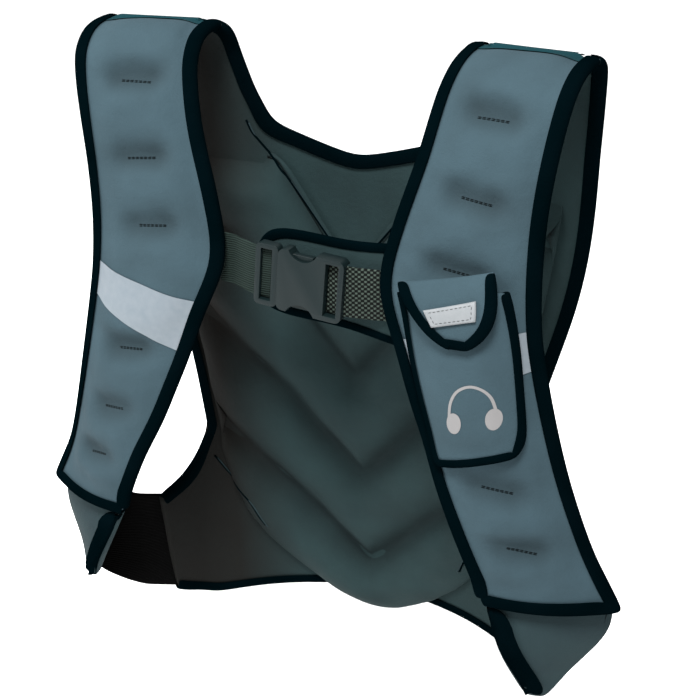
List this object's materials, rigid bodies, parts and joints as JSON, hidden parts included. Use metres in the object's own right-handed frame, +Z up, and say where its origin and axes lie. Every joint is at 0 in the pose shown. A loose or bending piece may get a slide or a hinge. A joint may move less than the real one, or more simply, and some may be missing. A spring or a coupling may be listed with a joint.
{
  "type": "weighted vest",
  "caption": "Weighted exercise vest with padded shoulder straps, quilted back pad, sternum buckle strap, side elastics and a flap pocket on one strap.",
  "frame": {"origin": "between the shoulders, level with the inner top of the shoulder arches, where the vest sits on the wearer", "axes": "+Z up, the chest faces -Y, the wearer's left is +X"},
  "size_m": [0.4966, 0.1806, 0.5335],
  "materials": {
    "neoprene": "matt slate blue neoprene cloth",
    "lining": "matt dark neoprene cloth",
    "binding": "woven edge tape",
    "tape": "woven seam tape",
    "elastic": "ribbed elastic",
    "webbing": "polypropylene webbing",
    "plastic": "satin moulded plastic",
    "reflector": "retroreflective cloth tape"
  },
  "bodies": {
    "root": {"front_panel_right": "neoprene", "front_panel_left": "neoprene", "medial_binding_right": "binding", "medial_binding_left": "binding", "lateral_binding_right": "binding", "lateral_binding_left": "binding", "shoulder_tape_right": "tape", "shoulder_tape_left": "tape", "back_panel": "lining", "neck_binding": "binding", "armhole_binding_right": "binding", "armhole_binding_left": "binding", "hem_binding": "binding", "weight_pad": "lining", "side_tab_right": "neoprene", "side_tab_left": "neoprene", "tab_binding_right": "binding", "tab_binding_left": "binding", "side_elastic_right": "elastic", "side_elastic_left": "elastic", "buckle_plug": "plastic", "buckle_socket": "plastic", "sternum_webbing_right": "webbing", "sternum_webbing_left": "webbing", "sternum_pad": "lining", "sternum_pad_binding": "binding", "reflective_band_right": "reflector", "reflective_band_left": "reflector", "pocket": "neoprene", "pocket_binding": "binding", "pocket_flap": "neoprene", "flap_binding": "binding", "flap_reflector": "reflector"}
  },
  "joints": []
}
